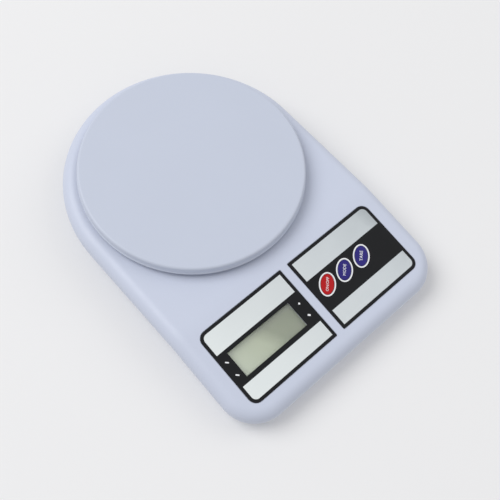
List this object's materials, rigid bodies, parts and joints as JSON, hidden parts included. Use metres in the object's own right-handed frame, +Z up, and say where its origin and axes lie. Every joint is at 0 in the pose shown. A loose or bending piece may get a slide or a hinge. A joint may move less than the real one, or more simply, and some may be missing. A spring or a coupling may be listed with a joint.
{
  "type": "digital kitchen scale",
  "caption": "Low plastic kitchen scale with a round weighing platform, a sloping front deck with a display window and oval keys, and a battery bay underneath.",
  "frame": {"origin": "centre of the overall box, on the plane that the feet stand on", "axes": "+Z up, +X to the right as the user reads the display, front edge with the display towards -Y"},
  "size_m": [0.165, 0.2321, 0.036],
  "materials": {
    "shell": "satin moulded plastic",
    "carrier": "plain moulded plastic",
    "rubber": "soft grey rubber",
    "steel": "zinc plated",
    "aluminium": "machined",
    "sealant": "white silicone",
    "silver_film": "printed silver film with black bands",
    "clear_lens": "clear acrylic",
    "display": "grey-green display glass",
    "pink_rubber": "layered silicone",
    "board": "green solder mask",
    "black_resin": "black resin",
    "capacitor": "blue sleeve",
    "ceramic_chip": "bare ceramic",
    "red_key": "glossy red print",
    "blue_key": "glossy dark blue print",
    "battery": "printed sleeve",
    "red_wire": "wire sleeve",
    "black_wire": "wire sleeve",
    "white_wire": "wire sleeve"
  },
  "bodies": {
    "base": {"top_cover": "shell", "base_cover": "shell", "rubber_feet": "rubber", "housing_screws": "steel", "load_cell": "aluminium", "gauge_sealant": "sealant", "base_shim": "aluminium", "load_cell_base_screws": "steel", "display_label": "silver_film", "button_label": "silver_film", "display_lens": "clear_lens", "display_glass": "display", "display_holder": "carrier", "zebra_strip": "pink_rubber", "main_board": "board", "controller_blob": "black_resin", "board_capacitors": "capacitor", "board_parts": "ceramic_chip", "board_screws": "steel", "push_switches": "black_resin", "battery_cells": "battery", "positive_contact": "steel", "negative_contact": "steel", "link_contact": "steel", "contact_springs": "steel", "battery_wire_red": "red_wire", "battery_wire_black": "black_wire", "load_cell_cable": "white_wire"},
    "platform": {"weighing_platform": "shell", "platform_carrier": "carrier", "platform_shim": "aluminium", "carrier_screws": "steel"},
    "power_key": {"power_button": "red_key", "power_plunger": "carrier"},
    "mode_key": {"mode_button": "blue_key", "mode_plunger": "carrier"},
    "tare_key": {"tare_button": "blue_key", "tare_plunger": "carrier"},
    "door": {"battery_door": "shell"}
  },
  "joints": [
    {"name": "platform_travel", "type": "slide", "parent": "base", "child": "platform", "axis": [0, 0, -1], "range_m": [0, 0.0006], "stiffness_N_per_m": 80000, "springref_m": -0.00002, "deforming": ["load_cell"]},
    {"name": "power_press", "type": "slide", "parent": "base", "child": "power_key", "axis": [0, 0.1305, -0.9914], "range_m": [0, 0.0004], "stiffness_N_per_m": 5000, "springref_m": -0.00006},
    {"name": "mode_press", "type": "slide", "parent": "base", "child": "mode_key", "axis": [0, 0.1305, -0.9914], "range_m": [0, 0.0004], "stiffness_N_per_m": 5000, "springref_m": -0.00006},
    {"name": "tare_press", "type": "slide", "parent": "base", "child": "tare_key", "axis": [0, 0.1305, -0.9914], "range_m": [0, 0.0004], "stiffness_N_per_m": 5000, "springref_m": -0.00006},
    {"name": "door_swing", "type": "hinge", "parent": "base", "child": "door", "pos_m": [0, -0.0083, 0.003], "axis": [1, 0, 0], "range_deg": [0, 80]}
  ]
}
